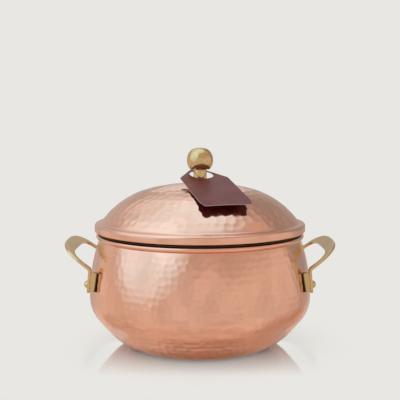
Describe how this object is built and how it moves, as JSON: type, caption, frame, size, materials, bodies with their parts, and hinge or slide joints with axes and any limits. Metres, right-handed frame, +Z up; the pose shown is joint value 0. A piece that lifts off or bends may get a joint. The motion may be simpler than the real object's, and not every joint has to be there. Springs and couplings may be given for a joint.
{
  "type": "soup kettle",
  "caption": "Lidded bellied soup kettle in hammered copper with brass strap handles, a brass ball knob on the lift-off lid and a bare card swing tag.",
  "frame": {"origin": "middle of the flat base, on the surface that the kettle stands on", "axes": "+Z up; +X through the right handle, so the two handles lie along X; -Y is the front, where the swing tag hangs"},
  "size_m": [0.2674, 0.2214, 0.1976],
  "materials": {
    "copper": "polished, hammered, lightly lacquered copper",
    "brass": "polished brass",
    "dark_brass": "darkened brass",
    "dark_steel": "heat-darkened stainless steel",
    "stainless": "satin stainless steel",
    "steel_wire": "drawn steel wire",
    "screw_steel": "bright steel fastener",
    "card": "satin burgundy card with pale cut edges"
  },
  "bodies": {
    "pot": {"pot_shell": "copper", "rim_wire": "steel_wire", "pot_liner": "stainless", "handle_left": "brass", "handle_right": "brass", "rivet_left_front": "brass", "rivet_left_rear": "brass", "rivet_right_front": "brass", "rivet_right_rear": "brass", "saddle_left_front": "stainless", "saddle_left_rear": "stainless", "saddle_right_front": "stainless", "saddle_right_rear": "stainless", "spacer_left_front": "dark_brass", "spacer_left_rear": "dark_brass", "spacer_right_front": "dark_brass", "spacer_right_rear": "dark_brass"},
    "lid": {"lid_shell": "copper", "lid_seat_ring": "dark_steel", "knob_stem": "brass", "knob_ball": "brass", "knob_screw": "screw_steel", "knob_washer": "screw_steel", "knob_spring_washer": "screw_steel"},
    "tag": {"swing_tag": "card"}
  },
  "joints": [
    {"name": "lid_lift", "type": "slide", "parent": "pot", "child": "lid", "axis": [0, 0, 1], "range_m": [0, 0.12]},
    {"name": "tag_swivel", "type": "hinge", "parent": "lid", "child": "tag", "pos_m": [0, 0, 0.17], "axis": [0, 0, 1], "continuous": true}
  ]
}
